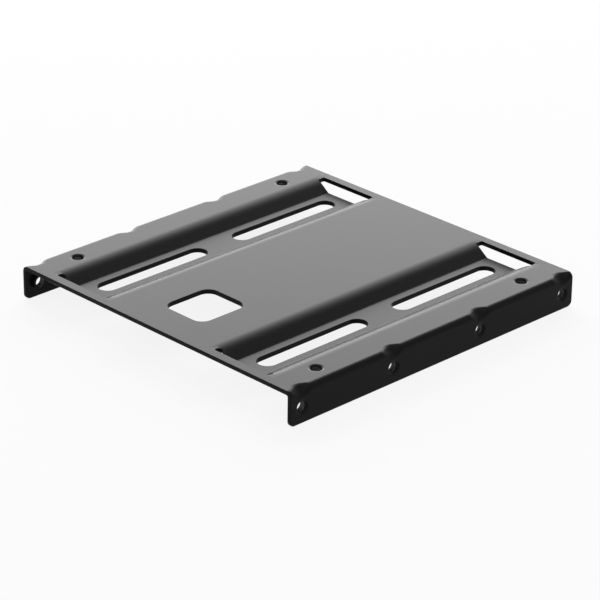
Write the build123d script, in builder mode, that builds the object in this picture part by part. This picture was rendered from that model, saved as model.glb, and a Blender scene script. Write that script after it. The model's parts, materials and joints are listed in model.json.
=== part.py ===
from build123d import *
import os
from math import asin, atan2, cos, degrees, hypot, isclose, pi, radians, tan

os.makedirs("parts", exist_ok=True)

# A bracket folded and pressed from one steel sheet. X runs across it, Y from its
# front edge to its back edge, and Z up from the lower edges of its two flanges.

# Sheet and outer size
sheet = 1.2
width = 101.6
length = 103.3
height = 9.6
bend_inner_radius = 1.35
bend_flat = 0.04
flange_corner_radius = 2.2
edge_break = 0.2

# Plunged and tapped screw holes: a row in each flange and two pairs in the plate
hole_diameter = 2.8
hole_entry_size = 0.9
collar_diameter = 4.2
collar_height = 1.0
flange_hole_count = 4
flange_hole_drop = 5.2
top_hole_side_inset = 5.7
top_hole_end_inset = 14.2

# Dents pressed across the bends, one over each flange hole
dent_length = 7.0
dent_plate_reach = 2.3
dent_flange_reach = 2.0
dent_plate_inner_radius = 0.8
dent_flange_inner_radius = 0.3
dent_fade = 1.5
dent_steps = 8
dent_margin = 0.15
end_land = 0.525

# Pressed channels that run along Y
channel_side_inset = 20.55
channel_floor_width = 10.3
channel_depth = 2.7
channel_wall_angle = 31
shoulder_radius = 7.0
toe_radius = 1.2
channel_end_lean = 0.45
channel_margin = 0.5

# Slits that cut the channels free from the tie strips at both ends
tie_strip = 2.75
slit_width = 2.15
slit_length = 19.6
slit_corner_radius = 0.6

# Two long slots in each channel floor, with a bridge between them
slot_width = 5.4
slot_end_gap = 4.25
slot_bridge = 11.0

# Rounded square window in the middle field
window_width = 14.6
window_length = 15.9
window_corner_radius = 3.0
window_from_front = 18.65

half_width = width / 2
half_length = length / 2
plate_under = height - sheet
flange_inner = half_width - sheet

# Each plain bend turns in two equal arcs, with a short flat between them
half_turn = pi / 4
bend_radius = bend_inner_radius + sheet
bend_tangent = bend_radius * tan(half_turn / 2)
bend_reach = (2 * bend_tangent + bend_flat) * cos(half_turn)
bend_field = bend_reach + bend_tangent
plate_half = half_width - bend_field

# The sheet runs past its outermost dents by the end land, and the dents set the pitch
flange_hole_pitch = (length - dent_length - 2 * end_land) / (flange_hole_count - 1)

# Field of plate and flange that a dent takes up
dent_plate_radius = dent_plate_inner_radius + sheet
dent_flange_radius = dent_flange_inner_radius + sheet
dent_turn = atan2(dent_flange_reach, dent_plate_reach)
dent_plate_end = dent_plate_reach + dent_plate_radius * tan(dent_turn / 2)
dent_flange_end = dent_flange_reach + dent_flange_radius * tan((pi / 2 - dent_turn) / 2)
dent_field_x = max(bend_field, dent_plate_end) + dent_margin
dent_field_z = max(bend_field, dent_flange_end) + dent_margin
dent_inner_x = half_width - dent_field_x
dent_lower_z = height - dent_field_z

# Channel section, its free ends and the slits that free them
channel_x = half_width - channel_side_inset
floor_half = channel_floor_width / 2
floor_top = height - channel_depth
wall_run = channel_depth / tan(radians(channel_wall_angle))
shoulder_half = floor_half + wall_run
shoulder_end = shoulder_half + shoulder_radius * tan(radians(channel_wall_angle) / 2)
channel_reach = shoulder_end + channel_margin
channel_stop = half_length - tie_strip
channel_end = channel_stop - slit_width
slit_y = channel_stop - slit_width / 2
slit_half = slit_length / 2
blend_run = shoulder_end - slit_half + slit_corner_radius
blend_turn = degrees(asin(blend_run / (shoulder_radius - sheet)))
slot_outer = channel_end - slot_end_gap
slot_inner = slot_bridge / 2
slot_length = slot_outer - slot_inner
slot_y = (slot_outer + slot_inner) / 2

# Window and screw holes
window_y = window_from_front - half_length
flange_hole_z = height - flange_hole_drop
top_hole_x = half_width - top_hole_side_inset
top_hole_y = half_length - top_hole_end_inset
hole_radius = hole_diameter / 2
hole_depth = sheet + collar_height
hole_entry = min(hole_entry_size, flange_hole_drop - dent_field_z - hole_radius)


def draw_bend(plate_reach, flange_reach, plate_radius, flange_radius, lower_z):
    """Draw both faces of the right bend, from the plate down to lower_z."""
    turn = atan2(flange_reach, plate_reach)
    plate_tangent = plate_radius * tan(turn / 2)
    flange_tangent = flange_radius * tan((pi / 2 - turn) / 2)
    run = hypot(plate_reach, flange_reach) - plate_tangent - flange_tangent
    start_x = half_width - plate_reach - plate_tangent
    for depth in (0, sheet):
        start = (start_x, height - depth)
        plate_arc = JernArc(start, (1, 0), plate_radius - depth, -degrees(turn))
        slope = Line(plate_arc @ 1, plate_arc @ 1 + plate_arc % 1 * run)
        flange_arc = JernArc(slope @ 1, slope % 1, flange_radius - depth, degrees(turn) - 90)
        Line(flange_arc @ 1, (half_width - depth, lower_z))
    Line((half_width, lower_z), (flange_inner, lower_z))
    return start_x


# Dents of both bends at y = 0: the bend pressed in, most at the dent's middle
with BuildPart() as dents:
    for step in range(-dent_steps // 2, dent_steps // 2 + 1):
        along = 2 * step / dent_steps
        press = max(cos(along * pi / 2), 0) ** dent_fade
        with BuildSketch(Plane.XZ.offset(along * dent_length / 2)):
            with BuildLine():
                start_x = draw_bend(
                    bend_reach + (dent_plate_reach - bend_reach) * press,
                    bend_reach + (dent_flange_reach - bend_reach) * press,
                    bend_radius + (dent_plate_radius - bend_radius) * press,
                    bend_radius + (dent_flange_radius - bend_radius) * press,
                    dent_lower_z,
                )
                Polyline(
                    (start_x, height),
                    (dent_inner_x, height),
                    (dent_inner_x, plate_under),
                    (start_x, plate_under),
                )
            make_face()
    loft()
    mirror(about=Plane.YZ)

# Channel section, centred on x = 0
with BuildSketch(Plane.XZ) as channel_section:
    with BuildLine():
        FilletPolyline(
            (-channel_reach, height),
            (-shoulder_half, height),
            (-floor_half, floor_top),
            (floor_half, floor_top),
            (shoulder_half, height),
            (channel_reach, height),
            radius=[shoulder_radius, toe_radius, toe_radius, shoulder_radius],
        )
        offset(amount=sheet, side=Side.RIGHT, closed=True)
    make_face()

# Shoulder blends: past the channel's ends its shoulders rise to the flat tie strips
with BuildPart() as shoulder_blends:
    with BuildSketch(Plane.XZ.offset(channel_end)):
        with BuildLine():
            upper_arc = JernArc((shoulder_end, height), (-1, 0), shoulder_radius, blend_turn)
            lower_radius = shoulder_radius - sheet
            lower_arc = JernArc((shoulder_end, plate_under), (-1, 0), lower_radius, blend_turn)
            Line(upper_arc @ 0, lower_arc @ 0)
            Line(upper_arc @ 1, lower_arc @ 1)
        make_face()
    with BuildSketch(Plane.XZ.offset(channel_stop)):
        with BuildLine():
            Polyline(
                (shoulder_end, height),
                ((upper_arc @ 1).X, height),
                ((lower_arc @ 1).X, plate_under),
                (shoulder_end, plate_under),
                close=True,
            )
        make_face()
    loft(ruled=True)
    mirror(about=Plane.YZ)
    mirror(about=Plane.XZ)

# Channel, centred on x = 0, with its slanted free ends, slits and slots
with BuildPart() as channel:
    extrude(channel_section.sketch, amount=channel_end, both=True)
    with BuildSketch(Plane.YZ.offset(-slit_half)) as end_lean:
        with BuildLine():
            Polyline(
                (channel_end, height),
                (channel_end - channel_end_lean, floor_top),
                (channel_end - channel_end_lean, 0),
                (half_length, 0),
                (half_length, height),
                close=True,
            )
        make_face()
        mirror(about=Plane.YZ)
    extrude(amount=slit_length, mode=Mode.SUBTRACT)
    add(shoulder_blends.part)
    with BuildSketch(Plane.XY.offset(height)) as slits:
        with GridLocations(0, 2 * slit_y, 1, 2):
            RectangleRounded(slit_length, slit_width, slit_corner_radius)
    extrude(amount=-height, mode=Mode.SUBTRACT)
    with BuildSketch(Plane.XY.offset(height)) as slots:
        with GridLocations(0, 2 * slot_y, 1, 2):
            SlotOverall(slot_length, slot_width, rotation=90)
    extrude(amount=-height, mode=Mode.SUBTRACT)
    slot_edges = channel.edges(Select.LAST)
    chamfer(slot_edges.group_by(Axis.Z)[-1], edge_break)

# Collars that the plunging leaves under the plate and inside both flanges
with BuildPart() as collars:
    with BuildSketch(Plane.XY.offset(plate_under)) as top_collars:
        with Locations((top_hole_x, 0)):
            with GridLocations(0, 2 * top_hole_y, 1, 2):
                Circle(collar_diameter / 2)
    extrude(amount=-collar_height)
    with BuildSketch(Plane.YZ.offset(flange_inner)) as flange_collars:
        with Locations((0, flange_hole_z)):
            with GridLocations(flange_hole_pitch, 0, flange_hole_count, 1):
                Circle(collar_diameter / 2)
    extrude(amount=-collar_height)
    mirror(about=Plane.YZ)

# Screw holes, as the solids that they cut away
with BuildPart() as screw_holes:
    with BuildSketch(Plane.XY.offset(height)) as top_holes:
        with Locations((top_hole_x, 0)):
            with GridLocations(0, 2 * top_hole_y, 1, 2):
                Circle(hole_radius)
    extrude(amount=-hole_depth)
    with BuildSketch(Plane.YZ.offset(half_width)) as flange_holes:
        with Locations((0, flange_hole_z)):
            with GridLocations(flange_hole_pitch, 0, flange_hole_count, 1):
                Circle(hole_radius)
    extrude(amount=-hole_depth)
    mirror(about=Plane.YZ)

# The bracket: the folded sheet, then all that is pressed and punched into it
with BuildPart() as bracket:
    with BuildSketch(Plane.XZ) as folded_section:
        with BuildLine():
            draw_bend(bend_reach, bend_reach, bend_radius, bend_radius, 0)
            mirror(about=Plane.YZ)
            for level in (height, plate_under):
                Line((-plate_half, level), (plate_half, level))
        make_face()
    extrude(amount=half_length, both=True)
    flange_corners = bracket.edges().filter_by(Axis.X).group_by(Axis.Z)[0]
    fillet(flange_corners, flange_corner_radius)

    # The lowest four edges are the smooth lines of the flange corners
    edges_by_y = bracket.edges().group_by(Axis.Y)
    end_edges = edges_by_y[0] + edges_by_y[-1]
    chamfer(end_edges.sort_by(Axis.Z)[4:], edge_break)

    dent_spacing = 2 * dent_inner_x + dent_field_x
    with BuildSketch(Plane.XY.offset(height)) as dent_gaps:
        with GridLocations(dent_spacing, flange_hole_pitch, 2, flange_hole_count):
            Rectangle(dent_field_x, dent_length)
    extrude(amount=-dent_field_z, mode=Mode.SUBTRACT)
    with GridLocations(0, flange_hole_pitch, 1, flange_hole_count):
        add(dents.part)

    with BuildSketch(Plane.XY.offset(height)) as channel_bands:
        with GridLocations(2 * channel_x, 0, 2, 1):
            Rectangle(2 * channel_reach, 2 * channel_end)
            Rectangle(2 * shoulder_end, 2 * channel_stop)
    extrude(amount=-sheet, mode=Mode.SUBTRACT)
    with GridLocations(2 * channel_x, 0, 2, 1):
        add(channel.part)

    with BuildSketch(Plane.XY.offset(height)) as window:
        with Locations((0, window_y)):
            RectangleRounded(window_width, window_length, window_corner_radius)
    extrude(amount=-sheet, mode=Mode.SUBTRACT)
    window_edges = bracket.edges(Select.LAST)
    chamfer(window_edges.group_by(Axis.Z)[-1], edge_break)

    add(collars.part)
    add(screw_holes.part, mode=Mode.SUBTRACT)
    circles = bracket.edges().filter_by(GeomType.CIRCLE)
    rims = circles.filter_by(lambda edge: isclose(edge.radius, hole_radius))
    top_rims = rims.group_by(Axis.Z)[-1]
    flange_rims = rims.group_by(Axis.X)[0] + rims.group_by(Axis.X)[-1]
    chamfer(top_rims + flange_rims, hole_entry)

bracket.part.label = "bracket"
export_step(bracket.part, "parts/bracket.step")
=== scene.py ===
"""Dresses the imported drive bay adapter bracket, lights it and sets the camera.

The bracket is one folded steel sheet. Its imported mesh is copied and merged, its
bends and the flanges' lower corners are drawn in to their tight radii, the wells
of its twelve screw holes are made again with rounded entries and cut threads,
and a satin black coat goes over it all. Lengths are in metres unless a name says
otherwise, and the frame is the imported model's: X across the bracket, Y from its
front edge to its back edge, Z up from the flanges' lower edges.
"""

import json
import logging
import math
from dataclasses import dataclass, field
from enum import Enum

import bmesh
import bpy
from mathutils import Matrix, Vector


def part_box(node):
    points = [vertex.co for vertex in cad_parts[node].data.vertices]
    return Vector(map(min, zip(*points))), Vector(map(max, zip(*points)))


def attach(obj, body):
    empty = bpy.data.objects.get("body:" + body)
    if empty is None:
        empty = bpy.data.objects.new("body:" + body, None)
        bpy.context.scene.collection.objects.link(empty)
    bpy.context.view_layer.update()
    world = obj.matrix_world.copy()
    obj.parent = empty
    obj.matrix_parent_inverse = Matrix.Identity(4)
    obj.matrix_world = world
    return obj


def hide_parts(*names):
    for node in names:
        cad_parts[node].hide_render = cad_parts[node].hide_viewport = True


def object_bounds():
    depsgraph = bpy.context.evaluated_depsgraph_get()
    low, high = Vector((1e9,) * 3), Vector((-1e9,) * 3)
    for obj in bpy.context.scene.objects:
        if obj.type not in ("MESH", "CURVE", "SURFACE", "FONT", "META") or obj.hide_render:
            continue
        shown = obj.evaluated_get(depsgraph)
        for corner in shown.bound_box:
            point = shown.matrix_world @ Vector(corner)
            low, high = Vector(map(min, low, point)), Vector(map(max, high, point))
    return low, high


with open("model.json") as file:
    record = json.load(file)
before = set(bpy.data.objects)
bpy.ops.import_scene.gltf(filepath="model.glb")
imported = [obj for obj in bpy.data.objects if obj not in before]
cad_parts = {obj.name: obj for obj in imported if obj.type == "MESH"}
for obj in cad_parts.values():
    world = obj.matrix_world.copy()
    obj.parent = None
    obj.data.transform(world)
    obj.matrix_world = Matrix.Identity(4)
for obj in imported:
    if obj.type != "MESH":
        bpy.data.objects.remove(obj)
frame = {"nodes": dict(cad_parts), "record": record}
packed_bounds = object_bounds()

log = logging.getLogger("bracket_scene")

MM = 0.001
BODY = "root"


class Slot(Enum):
    """The record's material slots."""

    COAT = "black_coat"


class Part(Enum):
    """The sheet's material numbers."""

    COAT = 0
    THREAD = 1


@dataclass(frozen=True)
class CoatFinish:
    """Satin black coat on steel.

    Args:
        name: Name of the material.
        base_color: Linear colour of the coat's body.
        roughness: Roughness of its surface.
        ior: Index of refraction of the coat.
        peel_pitch: Distance between the swells that the coat dries with.
        peel_height: Height of those swells.
    """

    name: str = "black_coat"
    base_color: tuple[float, float, float] = (0.005, 0.005, 0.0053)
    roughness: float = 0.32
    ior: float = 1.16
    peel_pitch: float = 0.9 * MM
    peel_height: float = 0.002 * MM

    def build(self) -> bpy.types.Material:
        """Make the material.

        Returns:
            The coat's material, which reads object coordinates only.
        """
        material = bpy.data.materials.new(self.name)
        material.use_nodes = True
        nodes = material.node_tree.nodes
        links = material.node_tree.links
        shader = nodes["Principled BSDF"]
        shader.inputs["Base Color"].default_value = (*self.base_color, 1)
        shader.inputs["Roughness"].default_value = self.roughness
        shader.inputs["IOR"].default_value = self.ior

        coordinates = nodes.new("ShaderNodeTexCoord")
        swells = nodes.new("ShaderNodeTexNoise")
        swells.inputs["Scale"].default_value = 1 / self.peel_pitch
        swells.inputs["Detail"].default_value = 1
        bump = nodes.new("ShaderNodeBump")
        bump.inputs["Strength"].default_value = 1
        bump.inputs["Distance"].default_value = self.peel_height
        links.new(coordinates.outputs["Object"], swells.inputs["Vector"])
        links.new(swells.outputs["Fac"], bump.inputs["Height"])
        links.new(bump.outputs["Normal"], shader.inputs["Normal"])
        return material


@dataclass(frozen=True)
class TapFinish:
    """Steel laid bare where the tap cut the threads.

    Args:
        name: Name of the material.
        base_color: Linear colour of the metal, dulled by cutting oil.
        roughness: Roughness of the cut surface.
    """

    name: str = "tapped_steel"
    base_color: tuple[float, float, float] = (0.06, 0.06, 0.062)
    roughness: float = 0.42

    def build(self) -> bpy.types.Material:
        """Make the material.

        Returns:
            The threads' material.
        """
        material = bpy.data.materials.new(self.name)
        material.use_nodes = True
        shader = material.node_tree.nodes["Principled BSDF"]
        shader.inputs["Base Color"].default_value = (*self.base_color, 1)
        shader.inputs["Metallic"].default_value = 1
        shader.inputs["Roughness"].default_value = self.roughness
        return material


@dataclass(frozen=True)
class Thread:
    """Form of the thread cut in a plunged hole.

    Args:
        pitch: Distance from one turn to the next.
        depth: Depth of the groove below the hole's wall.
        steepness: Steepness of the groove's sides, where 1 leaves it no floor.
        rows: Rings of vertices down the threaded wall.
        fade: Length at both ends over which the groove runs out.
    """

    pitch: float = 0.794 * MM
    depth: float = 0.3 * MM
    steepness: float = 2.2
    rows: int = 26
    fade: float = 0.2 * MM

    def groove(self, along: float, length: float, turn: float) -> float:
        """Find how far the groove goes below the hole's wall at one point.

        Args:
            along: Distance down the threaded wall.
            length: Length of the threaded wall.
            turn: Angle round the hole, in radians.

        Returns:
            The groove's depth there.
        """
        phase = (along / self.pitch - turn / math.tau) % 1
        form = min(1.0, self.steepness * (1 - abs(2 * phase - 1)))
        run_out = min(1.0, along / self.fade, (length - along) / self.fade)
        return self.depth * form * run_out


@dataclass
class ScrewHole:
    """One plunged hole of the sheet, open along its axis.

    Args:
        wall_point: A point on the axis beside the hole's wall.
        axis: Unit vector along the hole, out of its entry.
        radius: Radius of the hole's wall.
        entry: Width of the rounded entry round it.
        entry_depth: Depth at which the entry meets the threaded wall.
        thread: Form of its thread.
        tolerance: How near a vertex lies to the wall or the rim to be on it.
        entry_rings: Rings of faces round the entry.
    """

    wall_point: Vector
    axis: Vector
    radius: float
    entry: float
    entry_depth: float = 0.55 * MM
    thread: Thread = field(default_factory=Thread)
    tolerance: float = 0.01 * MM
    entry_rings: int = 7

    def in_flange(self) -> bool:
        """Tell whether the hole goes through a flange and not the plate."""
        return abs(self.axis.x) > abs(self.axis.z)

    def place(self, point: Vector) -> tuple[float, float, float]:
        """Express a point in the hole's own cylinder coordinates.

        Args:
            point: A point in the frame.

        Returns:
            Its distance from the axis, its height along the axis and its angle.
        """
        offset = point - self.wall_point
        height = offset.dot(self.axis)
        across = offset - self.axis * height
        side = self.axis.orthogonal().normalized()
        turn = math.atan2(across.dot(self.axis.cross(side)), across.dot(side))
        return across.length, height, turn

    def point(self, reach: float, height: float, turn: float) -> Vector:
        """Turn cylinder coordinates back into a point in the frame.

        Args:
            reach: Distance from the axis.
            height: Height along the axis, from the wall point.
            turn: Angle round the axis, in radians.

        Returns:
            The point.
        """
        side = self.axis.orthogonal().normalized()
        spoke = side * math.cos(turn) + self.axis.cross(side) * math.sin(turn)
        return self.wall_point + self.axis * height + spoke * reach

    def is_well_face(self, face: bmesh.types.BMFace) -> bool:
        """Tell whether a face belongs to the hole's entry or wall.

        Args:
            face: A face of the merged sheet.

        Returns:
            True if it does.
        """
        rim = self.radius + self.entry
        reaches = []
        for vertex in face.verts:
            reach, height, _ = self.place(vertex.co)
            on_wall = abs(reach - self.radius) < self.tolerance
            on_entry = height > 0 and reach < rim + self.tolerance
            if abs(height) > rim or not (on_wall or on_entry):
                return False
            reaches.append(reach)
        return min(reaches) < rim - self.tolerance

    def cut_thread(self, mesh: bmesh.types.BMesh) -> int:
        """Replace the hole's entry and wall by rounded and threaded ones.

        Args:
            mesh: The merged sheet.

        Returns:
            The number of faces made.
        """
        well = [face for face in mesh.faces if self.is_well_face(face)]
        if not well:
            raise ValueError(f"no faces of a hole at {self.wall_point}")
        seen = {vertex for face in well for vertex in face.verts}
        bmesh.ops.delete(mesh, geom=well, context="FACES")
        edge_ring = [v for v in seen if v.is_valid and v.link_faces]
        for vertex in seen:
            if vertex.is_valid and not vertex.link_faces:
                mesh.verts.remove(vertex)
        outer, inner = [], []
        for vertex in edge_ring:
            reach, height, turn = self.place(vertex.co)
            ring = outer if reach > self.radius + self.entry / 2 else inner
            ring.append((turn, height, vertex))
        outer.sort(key=lambda item: item[0])
        inner.sort(key=lambda item: item[0])
        if len(outer) != len(inner):
            raise ValueError(f"rings of {len(outer)} and {len(inner)} vertices")
        top = outer[0][1]
        bottom = inner[0][1]
        turns = [item[0] for item in outer]

        rings = [[item[2] for item in outer]]
        for step in range(1, self.entry_rings + 1):
            angle = math.pi / 2 * step / self.entry_rings
            reach = self.radius + self.entry * (1 - math.sin(angle))
            height = top - self.entry_depth * (1 - math.cos(angle))
            rings.append(
                [mesh.verts.new(self.point(reach, height, turn)) for turn in turns]
            )
        length = top - self.entry_depth - bottom
        for row in range(1, self.thread.rows):
            along = length * row / self.thread.rows
            height = top - self.entry_depth - along
            rings.append(
                [
                    mesh.verts.new(
                        self.point(
                            self.radius + self.thread.groove(along, length, turn),
                            height,
                            turn,
                        )
                    )
                    for turn in turns
                ]
            )
        rings.append([item[2] for item in inner])

        made = 0
        count = len(turns)
        for ring, (upper, lower) in enumerate(zip(rings, rings[1:])):
            part = Part.COAT if ring < self.entry_rings else Part.THREAD
            for index in range(count):
                following = (index + 1) % count
                face = mesh.faces.new(
                    (upper[index], upper[following], lower[following], lower[index])
                )
                face.material_index = part.value
                made += 1
        return made


@dataclass(frozen=True)
class TightCorner:
    """A rounded corner of the sheet, drawn in to the radius that it has.

    Args:
        axes: Numbers of the two axes of the corner's plane.
        sides: Which way the corner points along them, as 1 or -1.
        place: Where the corner would be sharp, along them.
        radii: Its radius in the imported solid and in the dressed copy.
        margins: Distances along them, past the rounding, in which vertices
            still move.
    """

    axes: tuple[int, int]
    sides: tuple[int, int]
    place: tuple[float, float]
    radii: tuple[float, float]
    margins: tuple[float, float]

    def draw_in(self, point: Vector, share: float = 1.0) -> None:
        """Move a point of the rounding towards the sharp corner, in place.

        Args:
            point: The point, which stays where it is if it isn't on the rounding.
            share: How much of the whole move it makes.
        """
        solid_radius, shown_radius = self.radii
        across, upward = (
            side * (point[axis] - value) + solid_radius
            for axis, side, value in zip(self.axes, self.sides, self.place)
        )
        if across < -self.margins[0] or upward < -self.margins[1]:
            return
        turn = math.atan2(max(upward, 0), max(across, 0))
        step = share * (solid_radius - shown_radius)
        first, second = self.axes
        point[first] += self.sides[0] * step * (1 - math.cos(turn))
        point[second] += self.sides[1] * step * (1 - math.sin(turn))


@dataclass
class DressedBracket:
    """The bracket as it is shown: the folded sheet with threaded holes.

    Args:
        node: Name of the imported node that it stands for.
        coat: Its finish.
        tap: The finish of its threads.
        entry: Width of the rounded entry round each screw hole.
        merge_distance: Distance within which packed vertices are one.
        sharp_angle: Angle in degrees above which an edge stays sharp.
        flat_angle: Angle in degrees below which neighbouring faces are one flat.
        flat_area: Area above which a flat keeps its own normal to its edges.
        bend_radii: Outer radius of the bends, in the solid and as shown.
        bend_margins: Distances past the bends, along the plate and down the
            flange, to which the dents reach.
        corner_radii: Radius of the flanges' corners, in the solid and as shown.
        dent_length: Length of the dents, where the bends keep their shape.
        dent_fade: Power by which a dent fades to its ends.
        bend_ease: Power by which the tight bend fades to a dent's middle.
    """

    node: str = "bracket"
    coat: CoatFinish = field(default_factory=CoatFinish)
    tap: TapFinish = field(default_factory=TapFinish)
    entry: float = 0.9 * MM
    merge_distance: float = 0.002 * MM
    sharp_angle: float = 50.0
    flat_angle: float = 0.3
    flat_area: float = 1.5 * MM * MM
    bend_radii: tuple[float, float] = (2.55 * MM, 1.5 * MM)
    bend_margins: tuple[float, float] = (0.55 * MM, 0.2 * MM)
    corner_radii: tuple[float, float] = (2.2 * MM, 1.6 * MM)
    dent_length: float = 7.0 * MM
    dent_fade: float = 1.5
    bend_ease: float = 1.3

    def plain_share(self, point: Vector, holes: list[ScrewHole]) -> float:
        """Measure how far a point of a bend is from the dents.

        Args:
            point: The point.
            holes: The screw holes, of which the flanges' lie under the dents.

        Returns:
            0 in the middle of a dent and 1 from its ends on.
        """
        near = min(
            abs(point.y - hole.wall_point.y) for hole in holes if hole.in_flange()
        )
        along = min(2 * near / self.dent_length, 1)
        pressed = max(math.cos(along * math.pi / 2), 0) ** self.dent_fade
        return (1 - pressed) ** self.bend_ease

    def draw_in_corners(self, mesh: bmesh.types.BMesh, holes: list[ScrewHole]) -> None:
        """Give the bends and the flanges' lower corners their tight radii.

        Args:
            mesh: The merged sheet.
            holes: The screw holes.
        """
        low, high = (Vector(corner) for corner in packed_bounds)
        bend_sizes = (self.bend_radii, self.bend_margins)
        bends = [
            TightCorner((0, 2), (side, 1), (x, high.z), *bend_sizes)
            for side, x in ((-1, low.x), (1, high.x))
        ]
        corner_sizes = (self.corner_radii, (self.merge_distance, self.merge_distance))
        corners = [
            TightCorner((1, 2), (side, -1), (y, low.z), *corner_sizes)
            for side, y in ((-1, low.y), (1, high.y))
        ]
        for vertex in mesh.verts:
            share = self.plain_share(vertex.co, holes)
            for bend in bends:
                bend.draw_in(vertex.co, share)
            for corner in corners:
                corner.draw_in(vertex.co)

    def screw_holes(self) -> list[ScrewHole]:
        """Read the screw holes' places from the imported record's mounts.

        Returns:
            The holes, entries outwards.
        """
        holes = []
        for mount in frame["record"]["mounts"]:
            sizes = mount["dims"]
            if mount["kind"] != "bolt_pattern" or "slot_length_mm" in sizes:
                continue
            axis = Vector(mount["axis"]).normalized()
            rows = [unit for unit in Matrix.Identity(3) if abs(unit.dot(axis)) < 0.5]
            spacings = (sizes.get("spacing_x_mm", 0), sizes.get("spacing_y_mm", 0))
            places = [Vector(mount["pos_m"])]
            for row, spacing in zip(rows, spacings):
                if spacing:
                    half = row * spacing * MM / 2
                    places = [p + half * sign for p in places for sign in (-1, 1)]
            for place in places:
                holes.append(
                    ScrewHole(place, axis, sizes["hole_r_mm"] * MM, self.entry)
                )
        return holes

    def flats(self, mesh: bmesh.types.BMesh) -> list[float]:
        """Measure the flat that each face belongs to.

        Args:
            mesh: The finished sheet, its faces indexed.

        Returns:
            For each face, the whole area of the flat round it.
        """
        limit = math.radians(self.flat_angle)
        areas = [0.0] * len(mesh.faces)
        reached = set()
        for start in mesh.faces:
            if start in reached:
                continue
            reached.add(start)
            flat = [start]
            for face in flat:
                beside = {other for edge in face.edges for other in edge.link_faces}
                for other in sorted(beside - reached, key=lambda face: face.index):
                    if other.normal.angle(start.normal) < limit:
                        reached.add(other)
                        flat.append(other)
            total = sum(face.calc_area() for face in flat)
            for face in flat:
                areas[face.index] = total
        return areas

    def corner_normals(self, mesh: bmesh.types.BMesh) -> list[Vector]:
        """Work out a normal for each face corner, so that flats shade flat.

        A corner of a flat has the flat's normal. Any other corner takes the
        normal of the largest flat that it meets smoothly, or else the mean of
        the faces that it meets smoothly.

        Args:
            mesh: The finished sheet, its faces indexed.

        Returns:
            The normals, in the order of the faces and their corners.
        """
        limit = math.radians(self.sharp_angle)
        areas = self.flats(mesh)
        normals = []
        for face in mesh.faces:
            for corner in face.loops:
                if areas[face.index] > self.flat_area:
                    normals.append(face.normal)
                    continue
                near = [
                    other
                    for other in corner.vert.link_faces
                    if other.normal.angle(face.normal) < limit
                ]
                flattest = max(near, key=lambda other: areas[other.index])
                if areas[flattest.index] > self.flat_area:
                    normals.append(flattest.normal)
                    continue
                mean = Vector()
                for other in near:
                    mean += other.normal * other.calc_area()
                normals.append(mean.normalized())
        return normals

    def build(self) -> bpy.types.Object:
        """Make the piece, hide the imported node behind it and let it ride.

        Returns:
            The dressed bracket's object.
        """
        mesh = bmesh.new()
        mesh.from_mesh(frame["nodes"][self.node].data)
        bmesh.ops.remove_doubles(mesh, verts=mesh.verts, dist=self.merge_distance)
        holes = self.screw_holes()
        self.draw_in_corners(mesh, holes)
        for hole in holes:
            made = hole.cut_thread(mesh)
            log.info("hole at %s: %d faces", tuple(hole.wall_point), made)
        bmesh.ops.recalc_face_normals(mesh, faces=mesh.faces)
        mesh.faces.index_update()
        normals = self.corner_normals(mesh)
        data = bpy.data.meshes.new("bracket_sheet")
        mesh.to_mesh(data)
        data.shade_smooth()
        data.normals_split_custom_set(normals)
        mesh.free()
        data.materials.append(self.coat.build())
        data.materials.append(self.tap.build())

        piece = bpy.data.objects.new("bracket_sheet", data)
        bpy.context.scene.collection.objects.link(piece)
        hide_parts(self.node)
        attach(piece, BODY)
        return piece


@dataclass(frozen=True)
class SoftPanel:
    """A flat soft light that faces the bracket.

    Args:
        name: Name of the light.
        azimuth: Angle from +Y towards -X at which it stands, in degrees.
        elevation: Angle above the floor, in degrees.
        distance: Distance from the bracket's middle.
        width: Width across.
        height: Height.
        radiance: Brightness of its face, where 1 is white.
    """

    name: str
    azimuth: float
    elevation: float
    distance: float
    width: float
    height: float
    radiance: float

    def build(self, middle: Vector) -> bpy.types.Object:
        """Make the light.

        Args:
            middle: The point that it faces.

        Returns:
            The light's object.
        """
        light = bpy.data.lights.new(self.name, "AREA")
        light.shape = "RECTANGLE"
        light.size = self.width
        light.size_y = self.height
        light.energy = self.radiance * math.pi * self.width * self.height
        azimuth = math.radians(self.azimuth)
        elevation = math.radians(self.elevation)
        away = Vector(
            (
                -math.sin(azimuth) * math.cos(elevation),
                math.cos(azimuth) * math.cos(elevation),
                math.sin(elevation),
            )
        )
        stand = bpy.data.objects.new(self.name, light)
        stand.location = middle + away * self.distance
        stand.rotation_euler = away.to_track_quat("Z", "Y").to_euler()
        bpy.context.scene.collection.objects.link(stand)
        return stand


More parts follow.
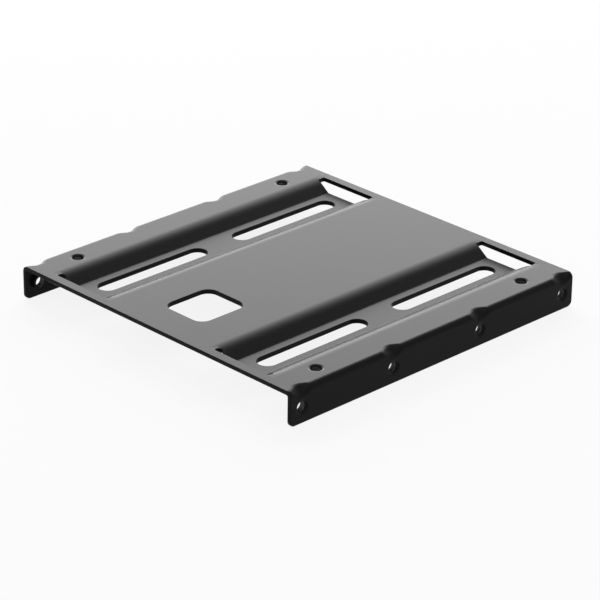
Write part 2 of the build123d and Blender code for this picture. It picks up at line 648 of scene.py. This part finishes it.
@dataclass
class Studio:
    """A pale floor, plain soft light and a white surround.

    Args:
        floor_side: Length of the floor's sides.
        floor_color: Linear colour of the floor.
        floor_white: Share of plain white in what is seen of the floor.
        horizon_radiance: Brightness of the surround's light at the floor's level.
        upper_radiance: Brightness of its light from the height below up.
        upper_height: Sine of the elevation from which its light is even.
        panels: The soft lights.
    """

    floor_side: float = 8.0
    floor_color: tuple[float, float, float] = (0.8, 0.8, 0.8)
    floor_white: float = 0.88
    horizon_radiance: float = 0.75
    upper_radiance: float = 0.12
    upper_height: float = 0.55
    panels: tuple[SoftPanel, ...] = (
        SoftPanel("back_left_panel", 52, 25, 1.1, 1.5, 0.9, 5.5),
        SoftPanel("top_panel", -90, 70, 1.2, 0.6, 0.6, 1.5),
        SoftPanel("front_panel", -135, 42, 1.2, 0.5, 0.5, 3.0),
    )

    def background_rays(self, tree: bpy.types.NodeTree) -> bpy.types.NodeSocket:
        """Find the rays that see the white background.

        Args:
            tree: The nodes of the floor or the surround.

        Returns:
            A value of 1 for the camera's, glossy and transmitted rays, else 0.
        """
        path = tree.nodes.new("ShaderNodeLightPath")
        seen = path.outputs["Is Camera Ray"]
        for ray in ("Is Glossy Ray", "Is Transmission Ray"):
            either = tree.nodes.new("ShaderNodeMath")
            either.operation = "MAXIMUM"
            tree.links.new(seen, either.inputs[0])
            tree.links.new(path.outputs[ray], either.inputs[1])
            seen = either.outputs[0]
        return seen

    def floor_material(self) -> bpy.types.Material:
        """Make the floor's pale finish, which keeps the bracket's shadow.

        Returns:
            The floor's material.
        """
        material = bpy.data.materials.new("pale_floor")
        material.use_nodes = True
        nodes = material.node_tree.nodes
        links = material.node_tree.links
        nodes.clear()
        share = nodes.new("ShaderNodeMath")
        share.operation = "MULTIPLY"
        share.inputs[1].default_value = self.floor_white
        matt = nodes.new("ShaderNodeBsdfDiffuse")
        matt.inputs["Color"].default_value = (*self.floor_color, 1)
        white = nodes.new("ShaderNodeEmission")
        mix = nodes.new("ShaderNodeMixShader")
        output = nodes.new("ShaderNodeOutputMaterial")
        links.new(self.background_rays(material.node_tree), share.inputs[0])
        links.new(share.outputs[0], mix.inputs[0])
        links.new(matt.outputs[0], mix.inputs[1])
        links.new(white.outputs[0], mix.inputs[2])
        links.new(mix.outputs[0], output.inputs["Surface"])
        return material

    def build_floor(self) -> bpy.types.Object:
        """Make the floor under the flanges' lower edges.

        Returns:
            The floor's object.
        """
        mesh = bmesh.new()
        bmesh.ops.create_grid(mesh, size=self.floor_side / 2)
        data = bpy.data.meshes.new("floor")
        mesh.to_mesh(data)
        mesh.free()
        data.materials.append(self.floor_material())
        floor = bpy.data.objects.new("floor", data)
        bpy.context.scene.collection.objects.link(floor)
        return floor

    def build_world(self) -> None:
        """Make the surround: a white background whose light comes from low down."""
        world = bpy.data.worlds.new("surround")
        bpy.context.scene.world = world
        world.use_nodes = True
        nodes = world.node_tree.nodes
        links = world.node_tree.links
        nodes.clear()
        direction = nodes.new("ShaderNodeTexCoord")
        parts = nodes.new("ShaderNodeSeparateXYZ")
        rise = nodes.new("ShaderNodeMapRange")
        rise.inputs["From Min"].default_value = 0
        rise.inputs["From Max"].default_value = self.upper_height
        rise.inputs["To Min"].default_value = self.horizon_radiance
        rise.inputs["To Max"].default_value = self.upper_radiance
        soft = nodes.new("ShaderNodeBackground")
        soft.inputs["Color"].default_value = (1, 1, 1, 1)
        white = nodes.new("ShaderNodeBackground")
        white.inputs["Color"].default_value = (1, 1, 1, 1)
        mix = nodes.new("ShaderNodeMixShader")
        output = nodes.new("ShaderNodeOutputWorld")
        links.new(self.background_rays(world.node_tree), mix.inputs[0])
        links.new(direction.outputs["Generated"], parts.inputs[0])
        links.new(parts.outputs["Z"], rise.inputs["Value"])
        links.new(rise.outputs["Result"], soft.inputs["Strength"])
        links.new(soft.outputs[0], mix.inputs[1])
        links.new(white.outputs[0], mix.inputs[2])
        links.new(mix.outputs[0], output.inputs["Surface"])

    def build(self, middle: Vector) -> None:
        """Make the floor, the surround and the lights.

        Args:
            middle: The point that the lights face.
        """
        self.build_floor()
        self.build_world()
        for panel in self.panels:
            panel.build(middle)
        bpy.context.scene.view_settings.view_transform = "Standard"


@dataclass(frozen=True)
class PhotoCamera:
    """The photograph's camera, fitted to the bracket's corners and holes.

    Args:
        azimuth: Angle from -Y towards +X at which it stands, in degrees.
        elevation: Angle above the floor, in degrees.
        distance: Distance from the point that it looks at.
        aim: That point, from the middle of the bracket's upper face.
        roll: Turn about the line of sight, in degrees.
        lens: Focal length in mm, for Blender's 36 mm sensor.
        clip: Distances from it between which things are seen.
    """

    azimuth: float = 45.62
    elevation: float = 25.02
    distance: float = 0.7564
    aim: tuple[float, float, float] = (0.014256, -0.013054, 0.0)
    roll: float = 0.639
    lens: float = 176.584
    clip: tuple[float, float] = (0.05, 50.0)

    def build(self, top_middle: Vector) -> bpy.types.Object:
        """Make the camera and give it to the scene.

        Args:
            top_middle: The middle of the bracket's upper face.

        Returns:
            The camera's object.
        """
        azimuth = math.radians(self.azimuth)
        elevation = math.radians(self.elevation)
        back = Vector(
            (
                math.sin(azimuth) * math.cos(elevation),
                -math.cos(azimuth) * math.cos(elevation),
                math.sin(elevation),
            )
        )
        data = bpy.data.cameras.new("photo_camera")
        data.lens = self.lens
        data.clip_start, data.clip_end = self.clip
        camera = bpy.data.objects.new("photo_camera", data)
        camera.location = top_middle + Vector(self.aim) + back * self.distance
        look = back.to_track_quat("Z", "Y").to_matrix()
        turned = look @ Matrix.Rotation(math.radians(self.roll), 3, "Z")
        camera.rotation_euler = turned.to_euler()
        bpy.context.scene.collection.objects.link(camera)
        bpy.context.scene.camera = camera
        return camera


def main() -> None:
    """Build the dressed bracket, the studio and the camera."""
    logging.basicConfig(level=logging.INFO, format="%(name)s: %(message)s")
    low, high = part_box("bracket")
    middle = (low + high) / 2
    top_middle = Vector((middle.x, middle.y, high.z))
    piece = DressedBracket().build()
    log.info("%s: %d faces", piece.name, len(piece.data.polygons))
    Studio().build(middle)
    camera = PhotoCamera().build(top_middle)
    log.info("%s at %s", camera.name, tuple(camera.location))


if __name__ == "__main__":
    main()
